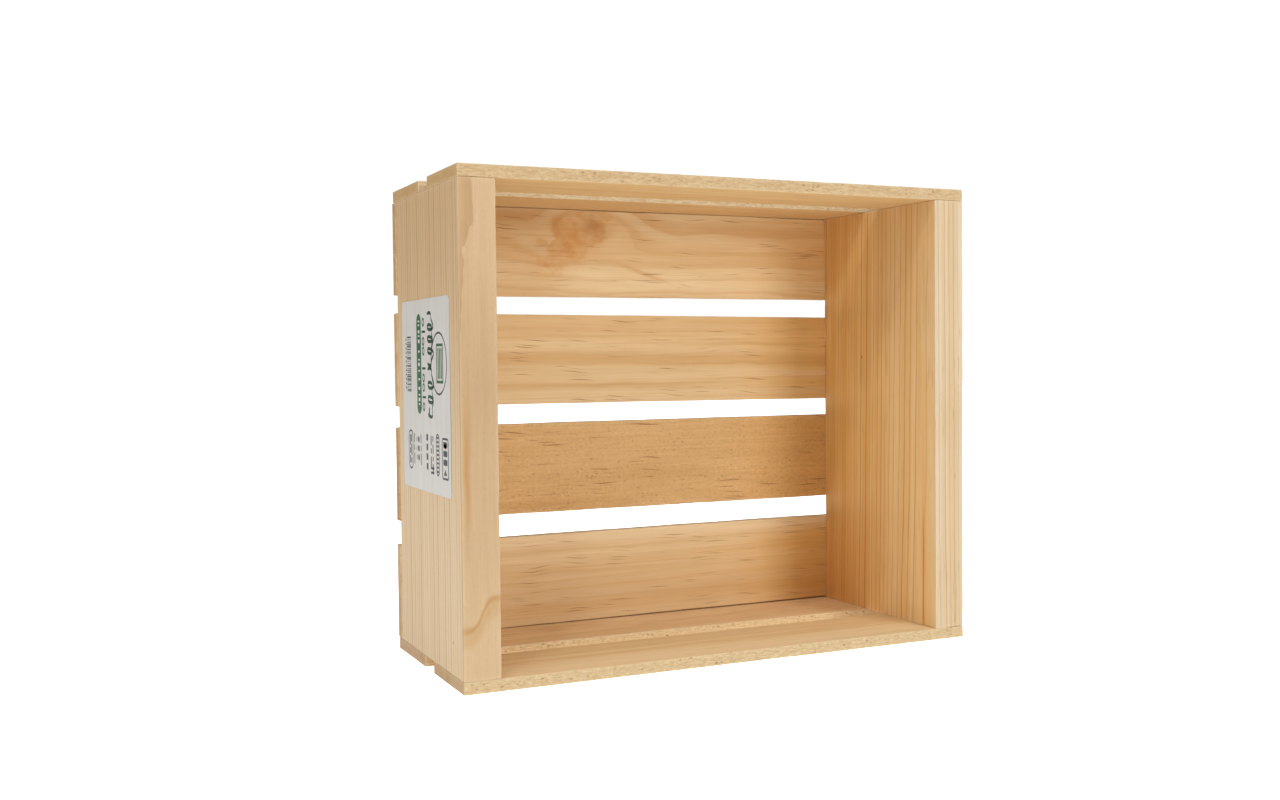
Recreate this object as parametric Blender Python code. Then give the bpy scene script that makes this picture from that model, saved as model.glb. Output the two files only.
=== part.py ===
"""Half-depth wooden apple crate, nailed from sawn pine boards.

The crate stands on one long side, the way it is used as a small shelf. X runs along its
length, the open mouth faces -Y, the slatted floor of the crate is at +Y, and Z is up. The
origin is at the bottom centre. Two thick end panels carry everything. Thin slats are
nailed over their top and bottom ends, and four more over their back edges. Each slat has
two brads at each end, and one end panel wears a paper label.
"""

import math

import bmesh
import bpy
from mathutils import Matrix, Vector

INCH = 0.0254

# Outside size of the crate, nominally 11 3/4 x 4 3/4 x 10 inches.
LENGTH = 0.2970
DEPTH = 4.75 * INCH
HEIGHT = 0.2550

# Boards.
PANEL_THICKNESS = 0.75 * INCH
SLAT_THICKNESS = 0.25 * INCH
SIDE_SLAT_WIDTH = 0.0520
EDGE_EASE = 0.0004
EDGE_EASE_SEGMENTS = 2
FIT_GAP = 0.0003

# Back slats from the top down: height of the lower edge at mid-length, width, and how far
# the right end stands above the left one. They were set by eye before they were nailed.
BACK_SLATS = (
    (0.1975, 0.0508, 0.0),
    (0.1351, 0.0517, -0.0014),
    (0.0721, 0.0520, 0.0),
    (0.0070, 0.0521, 0.0006),
)

# T-headed wire brads, 18 gauge.
BRAD_LENGTH = 1.0 * INCH
BRAD_WIDTH = 0.00125
BRAD_WIRE = 0.00105
BRAD_HEAD_WIDTH = 0.0020
BRAD_HEAD_HEIGHT = 0.0010
BRAD_POINT = 0.0020
BRAD_POINT_WIDTH = 0.0004
BRAD_SET = 0.0003
BRAD_SPREAD = 0.0270
SIDE_BRAD_INSET = 0.0080
BACK_BRAD_INSET = 0.0115

# Paper label on the left end panel.
LABEL_HEIGHT = 0.0997
LABEL_WIDTH = 0.0888
LABEL_THICKNESS = 0.0002
LABEL_RADIUS = 0.0030
LABEL_CORNER_STEPS = 4
LABEL_FROM_MOUTH = 0.0155
LABEL_FROM_FLOOR = 0.0934

# Places that follow from those sizes.
RIGHT = LENGTH / 2
LEFT = -RIGHT
MOUTH = -DEPTH / 2
BACK = DEPTH / 2
BACK_SLAT_FRONT = BACK - SLAT_THICKNESS
PANEL_BACK = BACK_SLAT_FRONT - FIT_GAP
PANEL_FLOOR = SLAT_THICKNESS + FIT_GAP
PANEL_TOP = HEIGHT - PANEL_FLOOR

# Base colour of each board, then roughness. The boards come from different trees.
WOOD_ROUGHNESS = 0.62
WOODS = {
    "end_panel_left": (0.74, 0.56, 0.34),
    "end_panel_right": (0.71, 0.50, 0.27),
    "top_slat_front": (0.72, 0.54, 0.32),
    "top_slat_rear": (0.67, 0.48, 0.27),
    "bottom_slat_front": (0.76, 0.58, 0.35),
    "bottom_slat_rear": (0.68, 0.48, 0.28),
    "back_slat_1": (0.71, 0.51, 0.29),
    "back_slat_2": (0.70, 0.50, 0.28),
    "back_slat_3": (0.61, 0.41, 0.21),
    "back_slat_4": (0.69, 0.50, 0.28),
}


def clear_scene():
    for obj in list(bpy.data.objects):
        bpy.data.objects.remove(obj, do_unlink=True)


def material(name, colour, roughness, metallic=0.0):
    """A plain Principled material."""
    made = bpy.data.materials.new(name)
    made.use_nodes = True
    shader = made.node_tree.nodes["Principled BSDF"]
    shader.inputs["Base Color"].default_value = (*colour, 1.0)
    shader.inputs["Roughness"].default_value = roughness
    shader.inputs["Metallic"].default_value = metallic
    made.diffuse_color = (*colour, 1.0)
    return made


def add_object(name, shape, finish=None):
    """Puts a finished bmesh into the scene as one object."""
    bmesh.ops.recalc_face_normals(shape, faces=shape.faces)
    mesh = bpy.data.meshes.new(name)
    shape.to_mesh(mesh)
    shape.free()
    obj = bpy.data.objects.new(name, mesh)
    bpy.context.collection.objects.link(obj)
    if finish:
        mesh.materials.append(finish)
    return obj


def add_prism(shape, outline, thickness, matrix):
    """Extrudes a closed outline in X and Y to both sides of Z = 0, placed by matrix."""
    rings = [
        [shape.verts.new(matrix @ Vector((x, y, side * thickness / 2))) for x, y in outline]
        for side in (-1, 1)
    ]
    shape.faces.new(reversed(rings[0]))
    shape.faces.new(rings[1])
    for i in range(len(outline)):
        j = (i + 1) % len(outline)
        shape.faces.new((rings[0][i], rings[0][j], rings[1][j], rings[1][i]))


# ---- boards -----------------------------------------------------------------------------


def add_board(name, low, high, cutter, rise=0.0):
    """A sawn board between two corners, with eased edges, bored for its brads.

    rise lifts the right end above the left one and leaves both ends plumb."""
    shape = bmesh.new()
    bmesh.ops.create_cube(shape, size=1.0)
    centre = (Vector(low) + Vector(high)) / 2
    size = Vector(high) - Vector(low)
    for vert in shape.verts:
        along = vert.co.x
        vert.co = centre + Vector(a * b for a, b in zip(vert.co, size))
        vert.co.z += along * rise
    board = add_object(name, shape, material(name, WOODS[name], WOOD_ROUGHNESS))
    ease = board.modifiers.new("ease", "BEVEL")
    ease.width = EDGE_EASE
    ease.segments = EDGE_EASE_SEGMENTS
    bore = board.modifiers.new("brad_holes", "BOOLEAN")
    bore.operation = "DIFFERENCE"
    bore.solver = "EXACT"
    bore.object = cutter


def add_end_panels(cutter):
    """The thick boards that carry every slat. Their grain stands upright."""
    for name, low_x in (("end_panel_left", LEFT), ("end_panel_right", RIGHT - PANEL_THICKNESS)):
        low = (low_x, MOUTH, PANEL_FLOOR)
        high = (low_x + PANEL_THICKNESS, PANEL_BACK, PANEL_TOP)
        add_board(name, low, high, cutter)


def side_slat_places():
    """Yields (name, low y, low z) for the two slats above and the two below."""
    for side, low_z in (("top", HEIGHT - SLAT_THICKNESS), ("bottom", 0.0)):
        yield f"{side}_slat_front", MOUTH, low_z
        yield f"{side}_slat_rear", BACK - SIDE_SLAT_WIDTH, low_z


def add_side_slats(cutter):
    for name, low_y, low_z in side_slat_places():
        low = (LEFT, low_y, low_z)
        high = (RIGHT, low_y + SIDE_SLAT_WIDTH, low_z + SLAT_THICKNESS)
        add_board(name, low, high, cutter)


def add_back_slats(cutter):
    for number, (low_z, width, rise) in enumerate(BACK_SLATS, 1):
        low = (LEFT, BACK_SLAT_FRONT, low_z)
        high = (RIGHT, BACK, low_z + width)
        add_board(f"back_slat_{number}", low, high, cutter, rise)


# ---- brads ------------------------------------------------------------------------------


def brad_outline(grow=0.0, head_above=0.0):
    """T outline, the same to both sides: X is across the head, Y runs down from its top."""
    head = BRAD_HEAD_WIDTH / 2 + grow
    shank = BRAD_WIDTH / 2 + grow
    point = BRAD_POINT_WIDTH / 2 + grow
    neck = BRAD_HEAD_HEIGHT + grow
    tip = BRAD_LENGTH + grow
    right = [
        (head, -head_above),
        (head, neck),
        (shank, neck),
        (shank, tip - BRAD_POINT),
        (point, tip),
    ]
    return right + [(-x, y) for x, y in reversed(right)]


def brad_places():
    """Yields (name, matrix) for every brad. The matrix carries the head's top centre to
    its place in the slat, with the brad's Y along the way it was driven."""
    ends = (("left", -1), ("right", 1))
    spread = (("a", -BRAD_SPREAD / 2), ("b", BRAD_SPREAD / 2))
    for name, low_y, low_z in side_slat_places():
        drive = Vector((0, 0, -1 if low_z > 0 else 1))
        face_z = HEIGHT if low_z > 0 else 0.0
        for end, side in ends:
            x = side * (RIGHT - SIDE_BRAD_INSET)
            for mark, shift in spread:
                place = Vector((x, low_y + SIDE_SLAT_WIDTH / 2 + shift, face_z))
                yield f"brad_{name}_{end}_{mark}", brad_matrix(place, drive)
    drive = Vector((0, -1, 0))
    for number, (low_z, width, rise) in enumerate(BACK_SLATS, 1):
        for end, side in ends:
            x = side * (RIGHT - BACK_BRAD_INSET)
            middle = low_z + width / 2 + rise * x / LENGTH
            for mark, shift in spread:
                place = Vector((x, BACK, middle + shift))
                yield f"brad_back_slat_{number}_{end}_{mark}", brad_matrix(place, drive)


def brad_matrix(place, drive):
    across = Vector((1, 0, 0))
    turn = Matrix((across, drive, across.cross(drive))).transposed()
    return Matrix.Translation(place + drive * BRAD_SET) @ turn.to_4x4()


def make_brad_cutter():
    """One hidden helper that holds the clearance hole of every brad."""
    shape = bmesh.new()
    outline = brad_outline(grow=FIT_GAP, head_above=2 * BRAD_SET + FIT_GAP)
    for _, matrix in brad_places():
        add_prism(shape, outline, BRAD_WIRE + 2 * FIT_GAP, matrix)
    cutter = add_object("brad_cutter", shape)
    cutter.hide_render = True
    cutter.display_type = "WIRE"
    return cutter


def add_brads():
    for name, matrix in brad_places():
        shape = bmesh.new()
        add_prism(shape, brad_outline(), BRAD_WIRE, matrix)
        add_object(name, shape, material(name, (0.52, 0.51, 0.49), 0.35, 1.0))


# ---- label ------------------------------------------------------------------------------


def rounded_rectangle(width, height, radius, steps):
    """Corner points of a rounded rectangle centred on the origin, anticlockwise."""
    points = []
    for quarter in range(4):
        middle = math.pi / 4 + quarter * math.pi / 2
        corner_x = math.copysign(width / 2 - radius, math.cos(middle))
        corner_y = math.copysign(height / 2 - radius, math.sin(middle))
        for step in range(steps + 1):
            turn = (quarter + step / steps) * math.pi / 2
            x = corner_x + radius * math.cos(turn)
            points.append((x, corner_y + radius * math.sin(turn)))
    return points


def add_label():
    """A blank rounded label on the outside of the left end panel."""
    outline = rounded_rectangle(LABEL_WIDTH, LABEL_HEIGHT, LABEL_RADIUS, LABEL_CORNER_STEPS)
    centre = Vector(
        (
            LEFT - FIT_GAP - LABEL_THICKNESS / 2,
            MOUTH + LABEL_FROM_MOUTH + LABEL_WIDTH / 2,
            LABEL_FROM_FLOOR + LABEL_HEIGHT / 2,
        )
    )
    axes = Matrix(((0, 1, 0), (0, 0, 1), (1, 0, 0))).transposed()
    shape = bmesh.new()
    add_prism(shape, outline, LABEL_THICKNESS, Matrix.Translation(centre) @ axes.to_4x4())
    add_object("label", shape, material("label_paper", (0.90, 0.90, 0.89), 0.5))


def main():
    clear_scene()
    cutter = make_brad_cutter()
    add_end_panels(cutter)
    add_side_slats(cutter)
    add_back_slats(cutter)
    add_brads()
    add_label()


main()
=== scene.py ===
"""Looks of the small pine crate: boards with growth rings, set brads and a printed label."""

import itertools
import math

import bpy
import numpy as np
from mathutils import Euler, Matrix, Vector


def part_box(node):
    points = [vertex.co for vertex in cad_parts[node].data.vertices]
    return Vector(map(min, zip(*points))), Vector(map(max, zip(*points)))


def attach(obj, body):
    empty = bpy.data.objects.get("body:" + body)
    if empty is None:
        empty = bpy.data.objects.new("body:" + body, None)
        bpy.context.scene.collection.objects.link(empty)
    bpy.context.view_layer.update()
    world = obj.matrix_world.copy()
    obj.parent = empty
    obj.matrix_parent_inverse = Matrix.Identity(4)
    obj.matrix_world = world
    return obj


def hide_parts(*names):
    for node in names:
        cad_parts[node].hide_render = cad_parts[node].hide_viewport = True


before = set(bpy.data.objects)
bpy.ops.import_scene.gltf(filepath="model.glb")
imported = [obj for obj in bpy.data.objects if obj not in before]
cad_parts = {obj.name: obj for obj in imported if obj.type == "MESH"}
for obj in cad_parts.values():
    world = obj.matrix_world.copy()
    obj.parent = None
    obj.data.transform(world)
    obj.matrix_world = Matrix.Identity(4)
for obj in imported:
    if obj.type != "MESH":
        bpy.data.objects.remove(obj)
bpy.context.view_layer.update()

BODY = "root"
MM = 0.001
AXES = "XYZ"

# ---- numbers that every board shares -------------------------------------------------

GRID_STEP = 2.2 * MM
THIN_GRID_STEP = 1.3 * MM
ARRIS_STEPS = (0.0, 0.22, 0.5, 1.0, 1.7, 2.9, 4.6)
ARRIS_EASE = 0.34 * MM
ARRIS_UNEVEN = 0.55
MOST_EASE = 0.45
CHIPS = 14
CHIP_LENGTH = (1.5, 6.0)
CHIP_DEPTH = (0.5, 2.2)
BOW_CUP_CROOK = (0.10, 0.06, 0.12)
SURFACE_SLACK = 1e-7
PIT_WALL = (0.10 * MM, 0.32 * MM)
PIT_MARGIN = 1.5 * PIT_WALL[0]
PIT_DEPTH = 0.8 * MM
PIT_STAIN = 1.1 * MM
# Reach of the paler arrises: partly rubbed wear, partly a painted highlight.
ARRIS_WEAR_AND_HIGHLIGHT_REACH = 0.9 * MM

# Each board's looks. Lengths are in millimetres from the board's centre, along the grain,
# across the width and through the thickness, and axes names those three in that order.
#   pith: where the rings' centre lies, across and through; lean: how it drifts along
#   ring: ring width at REFERENCE_RADIUS; crowd above 1 narrows the rings outwards
#   oval, wander: how flattened and how wavy the rings are
#   contrast, line, hair, bands: strength of ring lines, share of a ring that stays pale,
#     strength of hair lines, strength of the broad bands
#   early, late, warm: colours of early wood, late wood and bands
#   fades: (from, to, level, level) ramps across the width that scale the ring lines
#   fibre, fleck, fuzz: strength of fibre shading, resin flecks and torn surface
#   painted_right_shade: painted shade deepening the right end; edge, edge_tint: sawn look of narrow
#       edges
#   streaks: (across, lean, half width, along, reach, strength), dark above 0, pale below
#   knots: (along, across, half length, half width, push on the rings)
#   face: the side that the brads enter from; rise: how far the right end stands higher
#   grow: added at the low and high ends of the grain, width and thickness
REFERENCE_RADIUS = 40.0
PANEL_GROW = ((0.25, 0.25), (0.0, 0.25), (0.0, 0.0))
BACK_TOP_GROW = ((0.45, 0.0), (0.0, 0.12), (0.0, 0.0))
BACK_SLAT_GROW = ((0.45, 0.0), (0.0, 0.0), (0.0, 0.0))
ALL_ALONG = 400.0
BOARDS = {
    "end_panel_left": dict(
        axes="ZYX", pith=(165.0, -26.0), ring=4.0, lean=(0.004, 0.0), wander=1.2,
        contrast=1.0, line=0.72, hair=0.1, bands=0.25, fuzz=0.2,
        early=(0.785, 0.600, 0.385), late=(0.54, 0.345, 0.165),
        warm=(0.74, 0.535, 0.310), fibre=0.035, fleck=0.12, seed=11, edge=0.0,
        grow=PANEL_GROW,
    ),
    "end_panel_right": dict(
        axes="ZYX", pith=(-67.0, -36.0), ring=4.7, crowd=1.5, oval=1.3,
        lean=(0.022, 0.0), wander=1.0, contrast=1.0, line=0.84, hair=0.1,
        fades=(
            (-57.0, -15.0, 0.35, 1.05), (0.0, 50.0, 1.0, 0.75), (-56.0, -57.5, 1.0, 2.2),
        ),
        early=(0.785, 0.585, 0.310), late=(0.46, 0.215, 0.070),
        warm=(0.745, 0.500, 0.215), fibre=0.05, fleck=0.35, seed=23, edge=0.0,
        grow=PANEL_GROW,
    ),
    "top_slat_front": dict(
        axes="XYZ", pith=(14.0, -46.0), ring=4.2, lean=(0.01, 0.022), wander=2.5,
        contrast=0.25, early=(0.76, 0.560, 0.285), late=(0.64, 0.400, 0.160),
        warm=(0.72, 0.500, 0.230), fibre=0.07, fleck=0.5, seed=31, face=1,
        edge_tint=(0.75, 0.68, 0.61),
        streaks=((4.0, 0.0, 3.5, -60.0, 90.0, 0.35), (-9.0, 0.0, 5.0, 30.0, 120.0, -0.2)),
    ),
    "top_slat_rear": dict(
        axes="XYZ", pith=(-30.0, 38.0), ring=4.5, lean=(-0.012, 0.02), wander=2.5,
        contrast=0.3, early=(0.75, 0.540, 0.275), late=(0.62, 0.380, 0.160),
        warm=(0.72, 0.490, 0.230), fibre=0.07, fleck=0.4, seed=37, face=1,
        streaks=((-14.0, 0.0, 3.0, -20.0, 70.0, 0.3), (12.0, 0.01, 4.0, 30.0, 90.0, 0.3)),
    ),
    "bottom_slat_front": dict(
        axes="XYZ", pith=(-70.0, 30.0), ring=5.5, lean=(0.012, 0.0), wander=2.2,
        contrast=0.3, early=(0.765, 0.590, 0.345), late=(0.66, 0.420, 0.190),
        warm=(0.73, 0.525, 0.275), fibre=0.06, fleck=0.45, seed=41, face=-1,
        edge_tint=(0.84, 0.83, 0.77),
        streaks=(
            (17.0, 0.0, 6.0, 0.0, ALL_ALONG, 0.30), (3.0, 0.012, 2.2, 0.0, ALL_ALONG, 0.55),
            (-8.0, 0.012, 4.0, 0.0, ALL_ALONG, -0.35), (-20.0, 0.0, 5.0, 0.0, ALL_ALONG, -0.35),
        ),
    ),
    "bottom_slat_rear": dict(
        axes="XYZ", pith=(8.0, -42.0), ring=5.0, lean=(0.0, 0.03), wander=3.5,
        contrast=0.35, early=(0.77, 0.580, 0.350), late=(0.60, 0.370, 0.185),
        warm=(0.73, 0.510, 0.280), fibre=0.09, fleck=0.8, seed=43, face=-1,
        edge_tint=(1.02, 0.98, 0.88),
        streaks=((0.0, 0.05, 4.0, 40.0, 80.0, 0.35), (-12.0, 0.0, 4.0, -50.0, 80.0, 0.25)),
    ),
    "back_slat_1": dict(
        axes="XZY", pith=(34.0, -42.0), ring=6.5, lean=(0.03, 0.01), wander=6.0,
        contrast=0.45, early=(0.80, 0.610, 0.350), late=(0.62, 0.360, 0.145),
        warm=(0.765, 0.525, 0.255), fibre=0.055, fleck=0.8, seed=53, face=1, painted_right_shade=0.5,
        grow=BACK_TOP_GROW,
        knots=(
            (-31.0, 17.0, 28.0, 14.0, 13.0), (-60.0, 4.0, 17.0, 9.0, -8.0),
        ),
        streaks=(
            (20.0, 0.05, 7.0, -84.0, 28.0, 0.55), (-19.0, 0.0, 3.5, 0.0, ALL_ALONG, -0.4),
            (-12.0, -0.33, 1.1, 5.0, 16.0, 0.6), (-8.0, -0.30, 0.8, -4.0, 12.0, 0.45),
            (-24.6, 0.0, 1.3, -10.0, 70.0, 0.5), (15.0, 0.0, 5.0, 90.0, 60.0, 0.25),
            (-3.0, 0.03, 4.0, 70.0, 70.0, 0.2),
        ),
    ),
    "back_slat_2": dict(
        axes="XZY", pith=(-75.0, -44.0), ring=7.5, lean=(0.012, 0.0), wander=2.2,
        contrast=0.20, early=(0.785, 0.580, 0.315), late=(0.60, 0.340, 0.125),
        warm=(0.735, 0.485, 0.220), fibre=0.05, bands=0.7, fleck=0.8, seed=59, face=1,
        rise=-1.4, painted_right_shade=0.85,
        grow=BACK_SLAT_GROW,
        streaks=(
            (18.0, 0.0, 6.5, 0.0, ALL_ALONG, 0.32), (8.0, -0.012, 1.5, 80.0, 62.0, 0.60),
            (9.5, 0.0, 2.6, -50.0, 70.0, -0.45), (0.5, -0.005, 4.2, 0.0, ALL_ALONG, 0.42),
            (-3.4, -0.010, 0.9, 60.0, 80.0, 0.45), (-10.5, 0.0, 3.0, 0.0, ALL_ALONG, -0.5),
            (-15.3, 0.003, 1.3, -30.0, 80.0, 0.6), (-21.0, 0.0, 3.5, 0.0, ALL_ALONG, -0.4),
            (13.4, 0.0, 0.8, -30.0, 80.0, 0.35),
        ),
    ),
    "back_slat_3": dict(
        axes="XZY", pith=(12.0, 58.0), ring=8.5, lean=(0.02, 0.02), wander=5.0,
        contrast=0.22, early=(0.76, 0.495, 0.225), late=(0.58, 0.320, 0.115),
        warm=(0.69, 0.420, 0.170), fibre=0.05, bands=0.7, fleck=0.95, seed=61, face=1,
        fuzz=1.0, painted_right_shade=0.65,
        grow=BACK_SLAT_GROW,
        streaks=(
            (-8.0, 0.02, 5.0, -30.0, 70.0, 0.35), (12.0, 0.0, 8.0, 0.0, ALL_ALONG, 0.12),
            (-22.0, 0.04, 5.0, -60.0, 50.0, 0.45), (4.0, 0.0, 3.0, 60.0, 60.0, 0.25),
        ),
    ),
    "back_slat_4": dict(
        axes="XZY", pith=(-95.0, -38.0), ring=9.5, lean=(-0.016, 0.0), wander=3.0,
        contrast=0.20, early=(0.785, 0.580, 0.325), late=(0.62, 0.345, 0.130),
        warm=(0.72, 0.470, 0.215), fibre=0.05, bands=0.7, fleck=0.6, seed=67, face=1,
        rise=0.6, painted_right_shade=1.0,
        grow=BACK_SLAT_GROW,
        streaks=(
            (22.5, 0.012, 5.5, 0.0, ALL_ALONG, -0.9), (16.2, 0.012, 1.3, -20.0, 90.0, 0.55),
            (9.0, 0.01, 4.5, -40.0, 80.0, -0.25), (3.0, 0.01, 1.6, -30.0, 80.0, 0.4),
            (-10.0, 0.0, 9.0, 30.0, ALL_ALONG, 0.3),
        ),
    ),
}


# ---- mesh tools ----------------------------------------------------------------------


def value_noise(points, seed):
    """Smooth noise from -1 to 1 at each row of points, with one cell to a unit."""
    rng = np.random.default_rng(seed)
    size = 256
    table = rng.permutation(size)
    values = rng.uniform(-1.0, 1.0, size)
    cell = np.floor(points).astype(int)
    part = points - cell
    part = part * part * (3.0 - 2.0 * part)
    total = np.zeros(len(points))
    for corner in itertools.product((0, 1), repeat=3):
        x, y, z = (cell + corner).T % size
        key = table[(table[(table[x] + y) % size] + z) % size]
        weight = np.prod(np.where(corner, part, 1.0 - part), axis=1)
        total += weight * values[key]
    return total


def new_object(name, vertices, faces, material, smooth=True):
    """A finished piece on the body, from vertices in the row frame."""
    mesh = bpy.data.meshes.new(name)
    mesh.from_pydata(np.asarray(vertices).tolist(), [], faces)
    mesh.update()
    if smooth:
        mesh.shade_smooth()
    mesh.materials.append(material)
    piece = bpy.data.objects.new(name, mesh)
    bpy.context.scene.collection.objects.link(piece)
    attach(piece, BODY)
    return piece


def grid_lines(half, step, extra=()):
    """Places from -half to half: close together at both ends, then about step apart."""
    near = [half - a * ARRIS_EASE for a in ARRIS_STEPS]
    inner = near[-1]
    count = max(2, round(2 * inner / step))
    even = np.linspace(-inner, inner, count + 1)
    places = np.concatenate([near, [-a for a in near], even, list(extra)])
    places = np.unique(np.round(places / (0.01 * MM)) * 0.01 * MM)
    return places[(places >= -half) & (places <= half)]


def box_grid(lines):
    """Points and quads of a closed box whose three sets of grid lines are given."""
    sizes = [len(axis) for axis in lines]
    number = -np.ones(sizes, int)
    shell = np.zeros(sizes, bool)
    for axis in range(3):
        for end in (0, -1):
            at = [slice(None)] * 3
            at[axis] = end
            shell[tuple(at)] = True
    index = np.argwhere(shell)
    number[tuple(index.T)] = np.arange(len(index))
    points = np.stack([lines[a][index[:, a]] for a in range(3)], axis=1)
    faces = []
    for axis in range(3):
        for end in (0, -1):
            at = [slice(None)] * 3
            at[axis] = end
            side = number[tuple(at)]
            quads = np.stack(
                [side[:-1, :-1], side[1:, :-1], side[1:, 1:], side[:-1, 1:]], axis=-1
            ).reshape(-1, 4)
            outward = (end == -1) == (axis != 1)
            faces.append(quads if outward else quads[:, ::-1])
    return points, np.concatenate(faces)


# ---- boards --------------------------------------------------------------------------


def brads_of(board):
    """The CAD brads that hold one slat."""
    return [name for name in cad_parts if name.startswith(f"brad_{board}_")]


def pit_boxes(board, axes, centre):
    """Where brads enter: (low, high) across the grain and the width, from the centre."""
    found = []
    for name in brads_of(board):
        low, high = (np.array(corner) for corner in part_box(name))
        found.append(((low - centre)[axes[:2]], (high - centre)[axes[:2]]))
    return found


def arris_radius(local, half, seed):
    """How far each point's arris is eased: uneven along its length, with a few chips."""
    rng = np.random.default_rng(seed)
    side = np.sign(local[:, 1]) + 2 * np.sign(local[:, 2])
    spread = np.stack([local[:, 0] / (7 * MM), side * 9.1, side * 3.7], axis=1)
    radius = ARRIS_EASE * (1.0 + ARRIS_UNEVEN * value_noise(spread, seed))
    for _ in range(CHIPS):
        along = rng.uniform(-half[0], half[0])
        corner = rng.choice([-3, -1, 1, 3])
        length = rng.uniform(*CHIP_LENGTH) * MM
        depth = rng.uniform(*CHIP_DEPTH)
        hit = np.exp(-(((local[:, 0] - along) / length) ** 4)) * (side == corner)
        radius += ARRIS_EASE * depth * hit
    return np.minimum(radius, MOST_EASE * half.min() * 2)


def frame_floor():
    """Height of the surface that the crate stands on. No vertex goes below it."""
    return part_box("bottom_slat_front")[0][2]


def board_mesh(name, look):
    """A sawn board: uneven eased arrises, chips, slight warp, torn edges and brad pits."""
    axes = [AXES.index(letter) for letter in look["axes"]]
    low, high = (np.array(corner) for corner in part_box(name))
    rise = look.get("rise", 0.0) * MM
    low[axes[1]] += abs(rise) / 2
    high[axes[1]] -= abs(rise) / 2
    if "grow" in look:
        low[axes] -= np.array(look["grow"])[:, 0] * MM
        high[axes] += np.array(look["grow"])[:, 1] * MM
    centre = (low + high) / 2
    half = ((high - low) / 2)[axes]
    pits = pit_boxes(name, axes, centre)
    extra = [set(), set()]
    for pit_low, pit_high in pits:
        for axis in (0, 1):
            for wall in PIT_WALL:
                extra[axis] |= {pit_low[axis] - wall, pit_high[axis] + wall}
    lines = (
        grid_lines(half[0], GRID_STEP, extra[0]),
        grid_lines(half[1], GRID_STEP, extra[1]),
        grid_lines(half[2], THIN_GRID_STEP),
    )
    local, faces = box_grid(lines)
    flat = local.copy()
    seed = look["seed"]

    radius = arris_radius(local, half, seed)[:, None]
    core = np.clip(local, -(half - radius), half - radius)
    away = local - core
    normal = away / np.linalg.norm(away, axis=1, keepdims=True)
    local = core + radius * normal

    def swell(size, salt):
        return value_noise(flat / (np.array(size) * MM), seed + salt)

    torn = np.abs(normal[:, 1]) ** 3
    lift = 0.05 * MM * swell((60, 22, 9), 1)
    lift += MM * torn * (0.10 * swell((26, 9, 30), 2) + 0.07 * swell((5, 3, 2.2), 3))
    lift += MM * 0.012 * swell((9, 2.4, 2.4), 4) * (1.0 + 2.0 * look.get("fuzz", 0.0))
    local += normal * lift[:, None]

    for pit_low, pit_high in pits:
        inside = look["face"] * flat[:, 2] >= half[2] - SURFACE_SLACK
        for axis in (0, 1):
            inside &= flat[:, axis] >= pit_low[axis] - PIT_MARGIN
            inside &= flat[:, axis] <= pit_high[axis] + PIT_MARGIN
        local[inside, 2] -= look["face"] * PIT_DEPTH

    along = flat[:, 0] / half[0]
    across = flat[:, 1] / half[1]
    bow, cup, crook = np.array(BOW_CUP_CROOK) * MM
    local[:, 2] += bow * (1.0 - along**2) + cup * (across**2 - 0.5)
    local[:, 1] += crook * (1.0 - along**2) + rise / 2 * along

    # Paler arrises as a paint layer: partly rubbed wear, partly a painted highlight along the
    # edges.
    edge_gap = np.sort(half - np.abs(flat), axis=1)[:, 1]
    arris_wear_and_highlight = np.exp(-edge_gap / ARRIS_WEAR_AND_HIGHLIGHT_REACH)
    stain = np.zeros(len(flat))
    for pit_low, pit_high in pits:
        gap = np.maximum(pit_low - flat[:, :2], flat[:, :2] - pit_high)
        reach = np.linalg.norm(np.maximum(gap, 0.0), axis=1)
        top = look["face"] * flat[:, 2] > half[2] * 0.6
        stain = np.maximum(stain, np.exp(-reach / PIT_STAIN) * top)

    world = np.empty_like(local)
    world[:, axes] = local
    world[:, 2] = np.maximum(world[:, 2], frame_floor() - centre[2])
    if np.linalg.det(np.eye(3)[axes]) < 0:
        faces = faces[:, ::-1]
    return world + centre, faces, {"arris": arris_wear_and_highlight, "stain": stain}, centre


def add_board(name, look):
    """The piece that stands for one CAD board, with its paint layers and material."""
    vertices, faces, paint, centre = board_mesh(name, look)
    material = wood_material(name, look, centre)
    piece = new_object(f"{name}_board", vertices, faces.tolist(), material)
    for label, values in paint.items():
        layer = piece.data.attributes.new(label, "FLOAT", "POINT")
        layer.data.foreach_set("value", values.astype(np.float32))
    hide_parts(name)


# ---- material tools ------------------------------------------------------------------


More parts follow.
